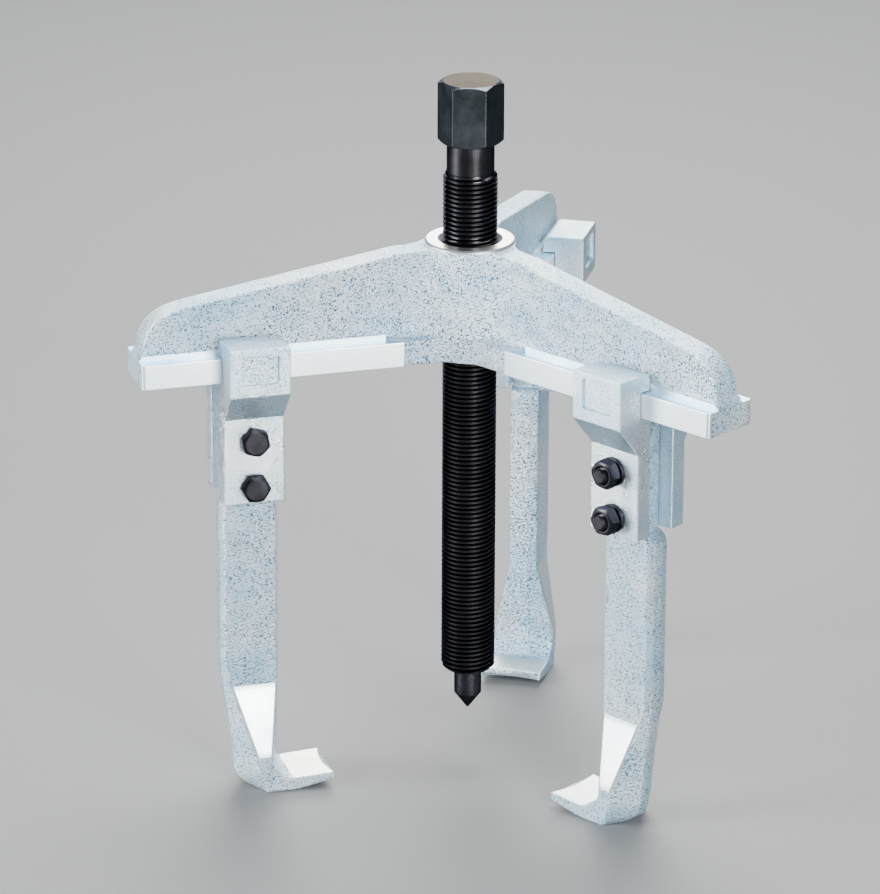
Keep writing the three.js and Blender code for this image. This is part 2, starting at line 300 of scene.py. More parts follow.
def spread(tree, value, low, high):
    """Maps a mask from 0..1 to low..high."""
    node = tree.nodes.new("ShaderNodeMapRange")
    tree.links.new(value, node.inputs["Value"])
    node.inputs["To Min"].default_value = low
    node.inputs["To Max"].default_value = high
    return node.outputs[0]


def bump(tree, height, distance, strength):
    """A Bump node over a height. Returns the normal socket."""
    node = tree.nodes.new("ShaderNodeBump")
    node.inputs["Distance"].default_value = distance
    node.inputs["Strength"].default_value = strength
    tree.links.new(height, node.inputs["Height"])
    return node.outputs[0]


def forged_zinc(name, silver, blue, pit_colour, roughness, grain, depth, pit_level=0.46, stretch=1):
    """Zinc plating over a shot-blasted forging."""
    material = bpy.data.materials.new(name)
    material.use_nodes = True
    tree = material.node_tree
    shader = tree.nodes["Principled BSDF"]
    shader.inputs["Metallic"].default_value = 1
    skin = use_group(tree, skin_group, Grain_Scale=grain, Stretch=stretch, Pit_Level=pit_level)
    tone = use_group(tree, tone_group)
    plated = colour_mix(tree, tone.outputs["Tone"], silver, blue)
    base = colour_mix(tree, skin.outputs["Pits"], plated, pit_colour)
    tree.links.new(base, shader.inputs["Base Color"])
    tree.links.new(spread(tree, tone.outputs["Tone"], *roughness), shader.inputs["Roughness"])
    tree.links.new(bump(tree, skin.outputs["Height"], depth * mm, 0.8), shader.inputs["Normal"])
    return material


def machined_zinc(name, silver, blue, roughness, pitch, depth):
    """Zinc plating over a milled or ground face."""
    material = bpy.data.materials.new(name)
    material.use_nodes = True
    tree = material.node_tree
    shader = tree.nodes["Principled BSDF"]
    shader.inputs["Metallic"].default_value = 1
    marks = use_group(tree, marks_group, Pitch=pitch)
    tone = use_group(tree, tone_group, Scale=45)
    tree.links.new(colour_mix(tree, tone.outputs["Tone"], silver, blue), shader.inputs["Base Color"])
    tree.links.new(spread(tree, tone.outputs["Tone"], *roughness), shader.inputs["Roughness"])
    tree.links.new(bump(tree, marks.outputs["Height"], depth * mm, 0.5), shader.inputs["Normal"])
    return material


forging_silver = (0.7, 0.79, 0.85)
forging_blue = (0.4, 0.61, 0.76)
beam_skin = forged_zinc(
    "beam_skin", forging_silver, forging_blue, (0.02, 0.12, 0.23), (0.34, 0.42), 1500, 0.9, 0.475)
beam_cut = machined_zinc("beam_cut", (0.86, 0.89, 0.91), (0.66, 0.8, 0.89), (0.34, 0.44), 2400, 0.03)
# Painted shade: the flat shoulder top beside the web has the rails' milled marks, but darker, bluer colours
# that paint in the shade the web casts on it.
shoulder_painted_shade = machined_zinc(
    "shoulder_painted_shade", (0.42, 0.66, 0.8), (0.32, 0.58, 0.76), (0.34, 0.44), 1800, 0.04)
hub_face = machined_zinc("hub_face", (0.82, 0.8, 0.75), (0.74, 0.75, 0.74), (0.3, 0.38), 1500, 0.03)


def arc(centre, radius, start, end, steps):
    """Points on a circular arc in plan, from one bearing to another, in degrees."""
    turns = [radians(start + (end - start) * step / steps) for step in range(steps + 1)]
    return [Vector((centre[0] + radius * cos(t), centre[1] + radius * sin(t))) for t in turns]


def along(path, share):
    """The point that lies a share of the way along a path of points."""
    lengths = [(b - a).length for a, b in zip(path, path[1:])]
    left = share * sum(lengths)
    for start, end, length in zip(path, path[1:], lengths):
        if left <= length and length > 0:
            return start.lerp(end, left / length)
        left -= length
    return path[-1].copy()


def softened(before, corner, after, radius, steps):
    """Points that round a corner between two neighbours by a radius."""
    first, last = before - corner, after - corner
    start = corner + first * min(radius / max(first.length, 1e-6), 0.45)
    end = corner + last * min(radius / max(last.length, 1e-6), 0.45)
    points = []
    for step in range(steps + 1):
        t = step / steps
        points.append(start * (1 - t) ** 2 + corner * 2 * t * (1 - t) + end * t ** 2)
    return points


def sheet_of(bm, sections):
    """Adds a grid whose rows follow the given sections, point for point."""
    rows, columns = len(sections), len(sections[0])
    made = bmesh.ops.create_grid(bm, x_segments=columns - 1, y_segments=rows - 1, size=1)["verts"]
    for vert in made:
        column = round((vert.co.x + 1) / 2 * (columns - 1))
        row = round((vert.co.y + 1) / 2 * (rows - 1))
        vert.co = sections[row][column]


def at(plan, height):
    return Vector((plan.x, plan.y, height))


def verts_in(items):
    return [item for item in items if isinstance(item, bmesh.types.BMVert)]


def rotate(bm, verts, degrees, axis="Z"):
    """Turns points about one of the part's own axes."""
    bmesh.ops.rotate(bm, verts=verts, cent=(0, 0, 0), matrix=Matrix.Rotation(radians(degrees), 3, axis))


def web_height(radius, rise):
    """Height of the web's top: a straight slope that lifts to meet the hub."""
    if radius < web_top_start:
        near = (web_top_start - radius) / (web_top_start - hub_radius)
        return web_top_root + rise * near * near
    share = (radius - web_top_start) / (web_slope_end - web_top_start)
    return web_top_root + (web_slope_top - web_top_root) * share


def beam_section(inner, rail, foot, foot_rise, web, web_foot, top, centre, edge, top_edge, machined):
    """One cut through half an arm, from the underside's inner point round to the top's. A machined
    shoulder is flat with a foot under the web; a forged one sweeps up into the web."""
    low = at(rail, 0)
    high = at(rail, rail_top if machined else root_top)
    if machined:
        step = [
            at(rail.lerp(foot, 0.5), rail_top),
            at(foot, rail_top),
            at(foot, foot_rise),
            at(foot.lerp(web, 0.7), foot_rise + 0.35 * (web_foot - foot_rise)),
        ]
    else:
        fillet = web_foot - root_top
        gap = (rail - web).length
        reach = min(fillet, 0.9 * gap) / max(gap, 0.001)
        step = [
            at(web.lerp(rail, reach * (1 - sin(turn))), root_top + fillet * (1 - cos(turn)))
            for turn in (radians(15), radians(35), radians(55), radians(75))
        ]
    shoulder = [*step, at(web, web_foot)]
    side = shoulder[-1].lerp(top, 0.5)
    return [
        inner,
        *softened(inner, low, high, edge, 2),
        *softened(low, high, shoulder[0], edge, 2),
        *shoulder,
        side,
        *softened(side, top, centre, top_edge, 3),
        centre,
    ]


def bezier(points, t):
    a, b, c, d = (Vector(point) for point in points)
    s = 1 - t
    return a * s ** 3 + b * 3 * s * s * t + c * 3 * s * t * t + d * t ** 3


def fillet_path(half, tail):
    """Plan of one side of an arm from midway between two arms, round the hub and its fillet."""
    across = half + hub_fillet
    out = sqrt((hub_radius + hub_fillet) ** 2 - across ** 2)
    touch = atan2(across, out) * 180 / pi
    path = arc((0, 0), hub_radius, 60, touch, 10)
    path += arc((out, across), hub_fillet, touch - 180, -90, 16)
    return path + [Vector((tail, half))]


def beam_sections():
    """Every section of half an arm, from midway between two arms to the middle of the arm's end."""
    web_path = fillet_path(web_half, web_tail)
    rail_path = fillet_path(root_half, rail_tail)
    ring_path = arc((0, 0), ring_radius, 60, 0, 30)
    mouth = (bore_radius + bore_countersink) / ring_radius
    sections = []
    for step in range(root_steps + 1):
        share = step / root_steps
        web, rail, ring = (along(path, share) for path in (web_path, rail_path, ring_path))
        top = at(web, web_height(web.length, hub_top - web_top_root))
        centre = at(ring, hub_top)
        sections.append(beam_section(
            at(ring * mouth, 0), rail, rail, 0, web, root_top + hub_rise, top, centre,
            forged_edge, 0.2 + (web_edge - 0.2) * share, False))
    for centre_x, web_x, rail_x, fillet in run_out:
        top = Vector((web_x, web_half_top, web_height(web_x, hub_top - web_top_root)))
        centre = Vector((centre_x, 0, web_height(centre_x, hub_top - web_top_root) + 0.1))
        sections.append(beam_section(
            Vector((centre_x, 0, 0)), Vector((rail_x, root_half)), None, 0, Vector((web_x, web_half)),
            root_top + fillet, top, centre, forged_edge, web_edge, False))

    def straight(x, rail_x, foot_x):
        top = Vector((x, web_half_top, web_height(x, 0)))
        return beam_section(
            Vector((x, 0, 0)), Vector((rail_x, rail_half)), Vector((foot_x, foot_half)), foot_top,
            Vector((x, web_half)), foot_top + web_foot_rise, top, Vector((x, 0, top.z + 0.15)),
            machined_edge, web_edge, True)

    sections.append(straight(foot_start - 0.9, machined_start + 0.1, foot_start - 0.6))
    sections += [straight(x, x, x) for x in straight_steps]
    nose = (
        (web_slope_end, web_slope_top), (124, 27.2), (web_nose - 0.2, 21.5), (web_nose, web_nose_foot))
    rail_stop = arm_end - arm_end_corner
    for step in range(nose_steps + 1):
        share = step / nose_steps
        x, z = bezier(nose, share)
        web_x = web_slope_end + (web_nose - nose_back - web_slope_end) * share
        foot_x = web_slope_end + (arm_end - foot_back - web_slope_end) * share
        rail_x = web_slope_end + (rail_stop - web_slope_end) * share
        sections.append(beam_section(
            Vector((foot_x - 1, 0, 0)), Vector((rail_x, rail_half)), Vector((foot_x, foot_half)),
            foot_top, Vector((web_x, web_half)), foot_top + web_foot_rise,
            Vector((x, web_half_top, z)), Vector((x + 0.1, 0, z + 0.12)),
            machined_edge, web_edge, True))
    rail_path = arc((rail_stop, rail_half - arm_end_corner), arm_end_corner, 90, 0, 3)
    rail_path += [Vector((arm_end, y)) for y in (9, foot_half, 4.4, 2.2, 0)]
    end_turn = 5
    for step in range(1, end_steps + 1):
        rail = rail_path[step]
        share = min(1, step / end_turn)
        foot = Vector((arm_end - foot_back + 1.5 * share, min(foot_half, rail.y)))
        web = Vector((web_nose - nose_back + 1.9 * share, min(web_half, rail.y)))
        top = Vector((web_nose + 0.3 * share, min(web_half_top, rail.y), web_nose_foot - 1.2 * share))
        sections.append(beam_section(
            Vector((arm_end - foot_back - 1 + share, 0, 0)), rail, foot, foot_top - 1.5 * share, web,
            foot_top + web_foot_rise - 1.6 * share, top, Vector((top.x + 0.1, 0, top.z + 0.1)),
            machined_edge, web_edge * (1 - 0.6 * share), True))
    return sections


def ring_sections(sections):
    """The hub's raised ring and its bore, on the same bearings as the beam's sections."""
    mouth = bore_radius + bore_countersink
    profile = (
        (ring_radius, hub_top),
        (ring_radius, ring_top - ring_chamfer),
        (ring_radius - ring_chamfer, ring_top),
        ((ring_radius + mouth) / 2, ring_top),
        (mouth, ring_top),
        (bore_radius, ring_top - bore_countersink),
        (bore_radius, bore_countersink),
        (mouth, 0),
    )
    rows = []
    for section in sections[:root_steps + 1]:
        bearing = atan2(section[-1].y, section[-1].x)
        rows.append([Vector((r * cos(bearing), r * sin(bearing), z)) for r, z in profile])
    return rows


def clean(bm, gap=0.002):
    """Merges doubled points, drops slivers and turns every face outwards."""
    bmesh.ops.remove_doubles(bm, verts=bm.verts, dist=gap)
    bmesh.ops.dissolve_degenerate(bm, edges=bm.edges, dist=gap)
    bmesh.ops.recalc_face_normals(bm, faces=bm.faces)


def settle(bm, name, body, nodes, place, finishes, sharp=34):
    """Turns a bmesh drawn in millimetres into a finished piece that rides in its place."""
    bmesh.ops.transform(bm, matrix=place @ Matrix.Scale(mm, 4), verts=bm.verts)
    mesh = bpy.data.meshes.new(name)
    bm.to_mesh(mesh)
    bm.free()
    for finish in finishes:
        mesh.materials.append(finish)
    mesh.shade_smooth()
    mesh.set_sharp_from_angle(angle=radians(sharp))
    piece = bpy.data.objects.new(name, mesh)
    scene.collection.objects.link(piece)
    even = piece.modifiers.new("even_shading", "WEIGHTED_NORMAL")
    even.keep_sharp = True
    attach(piece, body)
    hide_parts(*nodes)
    return piece


beam = bmesh.new()
half_arm = beam_sections()
sheet_of(beam, half_arm)
sheet_of(beam, ring_sections(half_arm))
bmesh.ops.remove_doubles(beam, verts=beam.verts, dist=0.002)
bmesh.ops.mirror(beam, geom=beam.verts[:] + beam.edges[:] + beam.faces[:], axis="Y", merge_dist=0.002)
for face in beam.faces:
    middle = face.calc_center_median()
    across, height = abs(middle.y), middle.z
    on_rail = machined_start + 0.05 < middle.x < arm_end - 0.05
    cut_side = across > root_half + 0.2 or (across > foot_half - 0.05 and height < foot_top)
    # Shoulder tops beside the web take the painted-shade material.
    if on_rail and across < rail_half - 0.3 and abs(height - rail_top) < 0.01:
        face.material_index = 3
    elif (on_rail and cut_side) or height < 0.01:
        face.material_index = 1
    elif height > hub_top + 0.01 and hypot(middle.x, middle.y) < ring_radius:
        face.material_index = 2
one_arm = beam.verts[:] + beam.edges[:] + beam.faces[:]
rotate(beam, beam.verts, 90)
for bearing in (120, 240):
    copy = bmesh.ops.duplicate(beam, geom=one_arm)["geom"]
    rotate(beam, verts_in(copy), bearing)
clean(beam)
settle(beam, "crossbeam_forging", "crossbeam", ["crossbeam"],
       Matrix.Translation((0, 0, rail_underside)), [beam_skin, beam_cut, hub_face, shoulder_painted_shade])


# Spindle: the forcing screw, a turned bar with a G 1/2 thread and a forged hexagon, blackened
# in hot oxide and oiled. The hexagon's end is faced off bright and has dulled to brown-grey.
thread_radius = 20.955 / 2
thread_pitch = 1.8143
thread_depth = 1.1617
thread_top = 71.9
thread_bottom = -131
thread_chamfer = 1.6
thread_turn_steps = 40
neck_radius = 9.15
hex_flats = 22
hex_bottom = 83.2
hex_top = 107.3
hex_turn = 40.4
hex_edge_share = 0.012
hex_corner_slope = 30
tip_shank_radius = 3.6
tip_shank_top = -119


def oxide(name, colour, sheen_colour, roughness, scale, depth):
    """Black oxide: near-black with a faint violet bloom, and the tool marks under it."""
    material = bpy.data.materials.new(name)
    material.use_nodes = True
    tree = material.node_tree
    shader = tree.nodes["Principled BSDF"]
    shader.inputs["Metallic"].default_value = 1
    shader.inputs["Specular Tint"].default_value = (0.3, 0.3, 0.34, 1)
    shader.inputs["Coat Weight"].default_value = 0.08
    shader.inputs["Coat Roughness"].default_value = 0.18
    tone = use_group(tree, tone_group, Scale=90)
    skin = use_group(tree, skin_group, Grain_Scale=scale, Pit_Depth=0.1)
    base = colour_mix(tree, tone.outputs["Tone"], colour, sheen_colour)
    tree.links.new(base, shader.inputs["Base Color"])
    tree.links.new(spread(tree, tone.outputs["Tone"], *roughness), shader.inputs["Roughness"])
    tree.links.new(bump(tree, skin.outputs["Height"], depth * mm, 0.5), shader.inputs["Normal"])
    return material


black_screw = oxide("black_screw", (0.03, 0.03, 0.034), (0.05, 0.048, 0.058), (0.2, 0.3), 1400, 0.03)
black_hex = oxide("black_hex", (0.042, 0.055, 0.06), (0.075, 0.08, 0.095), (0.26, 0.38), 1600, 0.04)
faced_end = machined_zinc("faced_end", (0.13, 0.122, 0.115), (0.1, 0.096, 0.093), (0.42, 0.5), 1200, 0.05)
faced_end.node_tree.nodes["Principled BSDF"].inputs["Specular Tint"].default_value = (0.25, 0.24, 0.22, 1)


def turned(profile, steps=64):
    """A closed turned solid about Z from [radius, height] pairs that start and end on the axis."""
    bm = bmesh.new()
    points = [bm.verts.new((radius, 0, height)) for radius, height in profile]
    edges = [bm.edges.new(pair) for pair in zip(points, points[1:])]
    bmesh.ops.spin(bm, geom=points + edges, cent=(0, 0, 0), axis=(0, 0, 1), dvec=(0, 0, 0),
                   angle=2 * pi, steps=steps, use_merge=True, use_duplicate=False)
    clean(bm)
    return bm


def combined(bm, tool, operation):
    """Cuts, joins or keeps one solid by another, and returns the result."""
    pair = []
    for part in (bm, tool):
        mesh = bpy.data.meshes.new("work")
        part.to_mesh(mesh)
        part.free()
        pair.append(bpy.data.objects.new("work", mesh))
        scene.collection.objects.link(pair[-1])
    modifier = pair[0].modifiers.new("cut", "BOOLEAN")
    modifier.operation = operation
    modifier.object = pair[1]
    modifier.solver = "EXACT"
    result = bmesh.new()
    result.from_object(pair[0], bpy.context.evaluated_depsgraph_get())
    for work in pair:
        mesh = work.data
        bpy.data.objects.remove(work)
        bpy.data.meshes.remove(mesh)
    clean(result, 0.0005)
    return result


def rounded_over(bm, edges, width, steps, clamp=False):
    """Rounds the given edges over by a width."""
    bmesh.ops.bevel(bm, geom=edges, offset=width, affect="EDGES", segments=steps, profile=0.5,
                    material=-1, clamp_overlap=clamp)


def hexagon(flats, bottom, top, turn, relief=0.35):
    """A six-sided bar about Z whose corners are turned off at both ends."""
    corner = flats / sqrt(3)
    bar = bmesh.new()
    bmesh.ops.create_cone(
        bar, cap_ends=True, segments=6, radius1=corner, radius2=corner, depth=top - bottom)
    rotate(bar, bar.verts, turn)
    bmesh.ops.translate(bar, verts=bar.verts, vec=(0, 0, (top + bottom) / 2))
    uprights = [edge for edge in bar.edges if abs(edge.verts[0].co.z - edge.verts[1].co.z) > 1]
    rounded_over(bar, uprights, flats * hex_edge_share, 2)
    face = flats / 2 - relief
    rise = (corner - face) * tan(radians(hex_corner_slope))
    lathe = turned((
        (0, bottom), (face, bottom), (corner, bottom + rise), (corner, top - rise), (face, top), (0, top),
    ), 72)
    return combined(bar, lathe, "INTERSECT")


def thread_limit(height):
    """Largest radius at a height, which shapes the chamfers at both ends of the thread."""
    start = min(height - thread_bottom, 100)
    end = thread_top - height
    low = thread_radius - thread_chamfer + max(start, 0)
    high = neck_radius + max(end, 0) * 0.75
    return min(low, high)


def threaded_bar():
    """The helical thread, cut square at both ends and carried up into the neck."""
    bm = bmesh.new()
    root = thread_radius - thread_depth
    crest_flat = 0.12
    root_flat = 0.2
    shape = (
        (thread_radius, -crest_flat),
        (thread_radius, crest_flat),
        (root, thread_pitch / 2 - root_flat),
        (root, thread_pitch / 2 + root_flat),
        (thread_radius, thread_pitch - crest_flat),
    )
    turns = int((thread_top - thread_bottom) / thread_pitch) + 4
    start = thread_bottom - 2 * thread_pitch
    points = [bm.verts.new((radius, 0, start + height)) for radius, height in shape]
    edges = [bm.edges.new(pair) for pair in zip(points, points[1:])]
    bmesh.ops.spin(bm, geom=points + edges, cent=(0, 0, 0), axis=(0, 0, 1),
                   dvec=(0, 0, thread_pitch / thread_turn_steps), angle=2 * pi,
                   steps=thread_turn_steps, use_merge=False, use_duplicate=False)
    one_turn = bm.verts[:] + bm.edges[:] + bm.faces[:]
    for turn in range(1, turns):
        copy = bmesh.ops.duplicate(bm, geom=one_turn)["geom"]
        bmesh.ops.translate(bm, verts=verts_in(copy), vec=(0, 0, turn * thread_pitch))
    bmesh.ops.remove_doubles(bm, verts=bm.verts, dist=0.01)
    for height, outward in ((thread_bottom, -1), (thread_top, 1)):
        bmesh.ops.bisect_plane(bm, geom=bm.verts[:] + bm.edges[:] + bm.faces[:], dist=0.0005,
                               plane_co=(0, 0, height), plane_no=(0, 0, outward), clear_outer=True)
    for vert in bm.verts:
        radius = hypot(vert.co.x, vert.co.y)
        limit = thread_limit(vert.co.z)
        if radius > limit:
            vert.co.x *= limit / radius
            vert.co.y *= limit / radius
    bmesh.ops.remove_doubles(bm, verts=bm.verts, dist=0.003)
    rims = [edge for edge in bm.edges if edge.is_boundary]
    top_rim = [edge for edge in rims if edge.verts[0].co.z > 0]
    lift = hex_bottom + 1 - thread_top
    grown = bmesh.ops.extrude_edge_only(bm, edges=top_rim)["geom"]
    bmesh.ops.translate(bm, verts=verts_in(grown), vec=(0, 0, lift))
    bmesh.ops.holes_fill(bm, edges=[edge for edge in bm.edges if edge.is_boundary], sides=0)
    clean(bm)
    return bm


screw = combined(threaded_bar(), hexagon(hex_flats, hex_bottom, hex_top, hex_turn), "UNION")
socket_radius = tip_shank_radius + 0.3
socket_top = tip_shank_top + 0.3
socket = turned((
    (0, thread_bottom - 1), (socket_radius, thread_bottom - 1),
    (socket_radius, socket_top), (0, socket_top),
))
screw = combined(screw, socket, "DIFFERENCE")
for face in screw.faces:
    height = face.calc_center_median().z
    if height > hex_top - 0.01:
        face.material_index = 2
    elif height > hex_bottom - 0.01:
        face.material_index = 1
spindle_place = Matrix.Translation((0, 0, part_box("spindle")[1].z - hex_top * mm))
settle(screw, "spindle_screw", "spindle", ["spindle"], spindle_place,
       [black_screw, black_hex, faced_end], 28)


# Pressure tip: a hardened pin pressed against the shaft's centre. It has a plain shank in the
# spindle's end, so it stays still while the spindle turns round it.
tip_radius = 5.35
tip_cone_top = -141.6
tip_point = -148.3
tip_nose_radius = 0.5

tip = turned((
    (0, tip_point),
    (tip_nose_radius, tip_point + 0.25),
    (tip_radius - 0.25, tip_cone_top - 0.3),
    (tip_radius, tip_cone_top + 0.15),
    (tip_radius, thread_bottom - 0.9),
    (tip_radius - 0.5, thread_bottom - 0.35),
    (tip_shank_radius, thread_bottom - 0.3),
    (tip_shank_radius, tip_shank_top - 0.5),
    (tip_shank_radius - 0.5, tip_shank_top),
    (0, tip_shank_top),
))
settle(tip, "pressure_pin", "pressure_tip", ["spindle_tip"], spindle_place,
       [black_screw])


# Jaw legs: drop forgings, flattened in a die that leaves a narrow trimmed band down each edge.
# The flared sides of the foot are dressed smooth and the claw's pulling face is ground.
leg_half = 5.9
band_half = 2.1
claw_half = 12.25
leg_edge = 0.9
tang_top = -3.5
tang_bottom = -49.9
bar_top = -54.5
flare_top = -126.5
flare_bottom = -155
fan_height = -160.4
claw_root = -15
claw_root_top = -164.8
claw_tip = -31
claw_tip_top = -164
claw_tip_bottom = -167.3
claw_hollow = 2
claw_edge = 0.35
sole = -170
sole_start = -4.4
bolt_heights = {"upper": -23.6, "lower": -42.1}
bolt_hole_radius = 3.3
tang = (-6.6, -5.6, 5.6, 6.6)
tang_swell = (-4.6, -4.7, 4.8, 4.8)
leg_bar = (-11.2, -10.3, 10.4, 11.4)
bar_heights = (-70, -90, -110, -118)
flare_steps = 12
fan_steps = 10
claw_band = claw_half - 2.5
claw_root_radius = 4.4

leg_skin = forged_zinc(
    "leg_skin", forging_silver, forging_blue, (0.03, 0.14, 0.25), (0.34, 0.42), 1150, 0.9, 0.465, 1.8)
leg_dressed = machined_zinc("leg_dressed", (0.78, 0.83, 0.86), (0.6, 0.74, 0.82), (0.34, 0.42), 1800, 0.02)
claw_ground = machined_zinc("claw_ground", (0.74, 0.74, 0.7), (0.58, 0.66, 0.66), (0.34, 0.44), 1400, 0.06)


def leg_ring(inner_band, inner_face, outer_face, outer_band, half, band, edges=(leg_edge, leg_edge)):
    """One closed section of the leg, from four points in its side view and two half-widths.
    Straight runs carry extra points so that the claw's tip can be hollowed."""
    def spot(point, y):
        return Vector((point[0], y, point[1]))
    corners = [
        (spot(inner_band, -band), 0.5), (spot(inner_face, -half), edges[0]),
        (spot(outer_face, -half), edges[1]), (spot(outer_band, -band), 0.5),
        (spot(outer_band, band), 0.5), (spot(outer_face, half), edges[1]),
        (spot(inner_face, half), edges[0]), (spot(inner_band, band), 0.5),
    ]
    rounded = []
    for index, (corner, radius) in enumerate(corners):
        before = corners[index - 1][0]
        after = corners[(index + 1) % len(corners)][0]
        rounded.append(softened(before, corner, after, radius, 3))
    ring = []
    for index, points in enumerate(rounded):
        start, end = points[-1], rounded[(index + 1) % len(rounded)][0]
        ring += points + [start.lerp(end, share) for share in (0.25, 0.5, 0.75)]
    return ring + [ring[0].copy()]


def upright(height, places, half):
    """A level section, from its inner band, inner face, outer face and outer band."""
    return leg_ring(*[(x, height) for x in places], half, band_half)


def ease(value):
    return value * value * (3 - 2 * value)


def leg_rings():
    """Every section of the leg, down from the tang and round to the claw's tip."""
    rings = [upright(tang_top, tang, leg_half), upright(tang_bottom, tang, leg_half)]
    for step in range(1, 7):
        swell = sin(step / 6 * pi / 2)
        drop = 1 - cos(step / 6 * pi / 2)
        height = tang_bottom - 0.1 + (bar_top - tang_bottom) * drop
        places = [x + growth * swell for x, growth in zip(tang, tang_swell)]
        rings.append(upright(height, places, leg_half))
    for height in bar_heights:
        rings.append(upright(height, leg_bar, leg_half))
    rings.append(upright(-122, (-11.1, -10.2, 9.5, 11.1), leg_half + 0.05))
    for step in range(flare_steps + 1):
        share = step / flare_steps
        height = flare_top + (flare_bottom - flare_top) * share
        half = 6.1 + (claw_half - 6.1) * (share * 0.92 + 0.08 * ease(share))
        places = (-11.1 + 0.5 * share, -10.0 + 3.4 * share, 8.0 - 8.6 * share, 10.6 - 4.0 * share ** 0.9)
        rings.append(upright(height, places, half))
    rings.append(upright(-158, (-10.6, -6.9, -0.7, 6.6), claw_half))
    for step in range(fan_steps + 1):
        share = step / fan_steps
        bend = radians(90 * share)
        turn = radians(46 * share)
        inner = (claw_root + claw_root_radius * cos(turn), fan_height - claw_root_radius * sin(turn))
        inner_face = (-7.2 - 5.2 * share, fan_height - 4.0 * ease(share))
        outer_face = (-0.9 - 3.5 * share, fan_height - (fan_height - sole) * share)
        outer_x = sole_start + (6.5 - sole_start) * cos(bend)
        outer = (outer_x, fan_height - (fan_height - sole) * sin(bend))
        band = band_half + (claw_band - band_half) * share ** 3
        rings.append(leg_ring(inner, inner_face, outer_face, outer, claw_half, band))
    for step in range(1, 6):
        share = step / 5
        turn = radians(46 + 44 * share)
        inner = (claw_root + claw_root_radius * cos(turn), fan_height - claw_root_radius * sin(turn))
        inner_face = (-12.4 - 3.4 * share, fan_height - 4.0 - 0.4 * share)
        low = (sole_start - 10.6 * share, sole)
        edges = (1.1 - 0.6 * share, leg_edge)
        rings.append(leg_ring(inner, inner_face, low, low, claw_half, claw_band, edges))
    for step in range(1, 6):
        share = step / 5
        x = claw_root + (claw_tip - claw_root) * share
        top = (x, claw_root_top + (claw_tip_top - claw_root_top) * share)
        top_face = (x - 0.8 * (1 - share), top[1])
        low = (x, sole + (claw_tip_bottom - sole) * max(0, (share - 0.1) / 0.9))
        ring = leg_ring(top, top_face, low, low, claw_half, claw_band, (0.5, leg_edge))
        for point in ring:
            point.x += claw_hollow * (1 - min(1, abs(point.y) / claw_half) ** 2) * share ** 3
        rings.append(ring)
    return rings


def leg_mesh():
    bm = bmesh.new()
    sheet_of(bm, leg_rings())
    bmesh.ops.remove_doubles(bm, verts=bm.verts, dist=0.003)
    bmesh.ops.holes_fill(bm, edges=[edge for edge in bm.edges if edge.is_boundary], sides=0)
    clean(bm)
    rim = [
        edge for edge in bm.edges
        if all(vert.co.x < claw_tip + claw_hollow + 0.01 for vert in edge.verts)
        and edge.calc_face_angle(0) > radians(50)
    ]
    rounded_over(bm, rim, claw_edge, 2)
    return bm


def across_holes(radius, reach):
    """Two pins across the jaw, one for each clamp bolt, for cutting its holes."""
    bm = bmesh.new()
    for height in bolt_heights.values():
        pin = bmesh.ops.create_cone(
            bm, cap_ends=True, segments=32, radius1=radius, radius2=radius, depth=2 * reach)["verts"]
        rotate(bm, pin, 90, "X")
        bmesh.ops.translate(bm, verts=pin, vec=(0, 0, height))
    return bm


def paint_leg(bm):
    for face in bm.faces:
        middle, normal = face.calc_center_median(), face.normal
        if normal.z > 0.9 and claw_tip < middle.x < claw_root - 0.5 and middle.z < -160:
            face.material_index = 2
        elif abs(normal.y) > 0.85 and flare_bottom < middle.z < flare_top and -11 < middle.x < 10:
            face.material_index = 1


def jaw_frame(name):
    """Where a jaw sits: on the arm's line, at the rail's underside, with +X out along the arm."""
    corners = [*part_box(f"jaw_{name}_cheek_left"), *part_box(f"jaw_{name}_cheek_right")]
    x = (min(c.x for c in corners) + max(c.x for c in corners)) / 2
    y = (min(c.y for c in corners) + max(c.y for c in corners)) / 2
    return Matrix.Translation((x, y, rail_underside)) @ Matrix.Rotation(atan2(y, x), 4, "Z")


jaws = {name: jaw_frame(name) for name in "abc"}
leg = combined(leg_mesh(), across_holes(bolt_hole_radius, 20), "DIFFERENCE")
paint_leg(leg)
for name, place in jaws.items():
    settle(leg.copy(), f"jaw_{name}_leg_forging", f"jaw_{name}", [f"jaw_{name}_leg"], place,
           [leg_skin, leg_dressed, claw_ground], 40)
leg.free()


# Clamp cheeks: forged C-shaped plates that hook over the rail, a left and a right one on each
# jaw, zinc-plated. The head has a shallow square panel where a size would be stamped.
cheek_half_width = 11.8
cheek_inner = 6.2
cheek_lip = 7.3
cheek_top = 16.4
cheek_head_face = 23.9
cheek_head_bottom = -2.6
cheek_plate_face = 13.2
cheek_plate_top = -14.8
cheek_plate_bottom = -49.1
cheek_edge = 0.55
lip_edge = 2.6
rail_pocket = 12.45
panel_half = 7.4
panel_bottom, panel_top = 2.1, 14.1
panel_depth = 1.2
panel_corner = 1.5

cheek_skin = forged_zinc(
    "cheek_skin", (0.7, 0.78, 0.83), (0.4, 0.6, 0.74), (0.1, 0.28, 0.42), (0.26, 0.34), 1900, 0.35, 0.44)
cheek_panel = forged_zinc(
    "cheek_panel", (0.66, 0.75, 0.81), (0.36, 0.57, 0.71), (0.06, 0.22, 0.35), (0.32, 0.4), 1700, 0.4, 0.45)


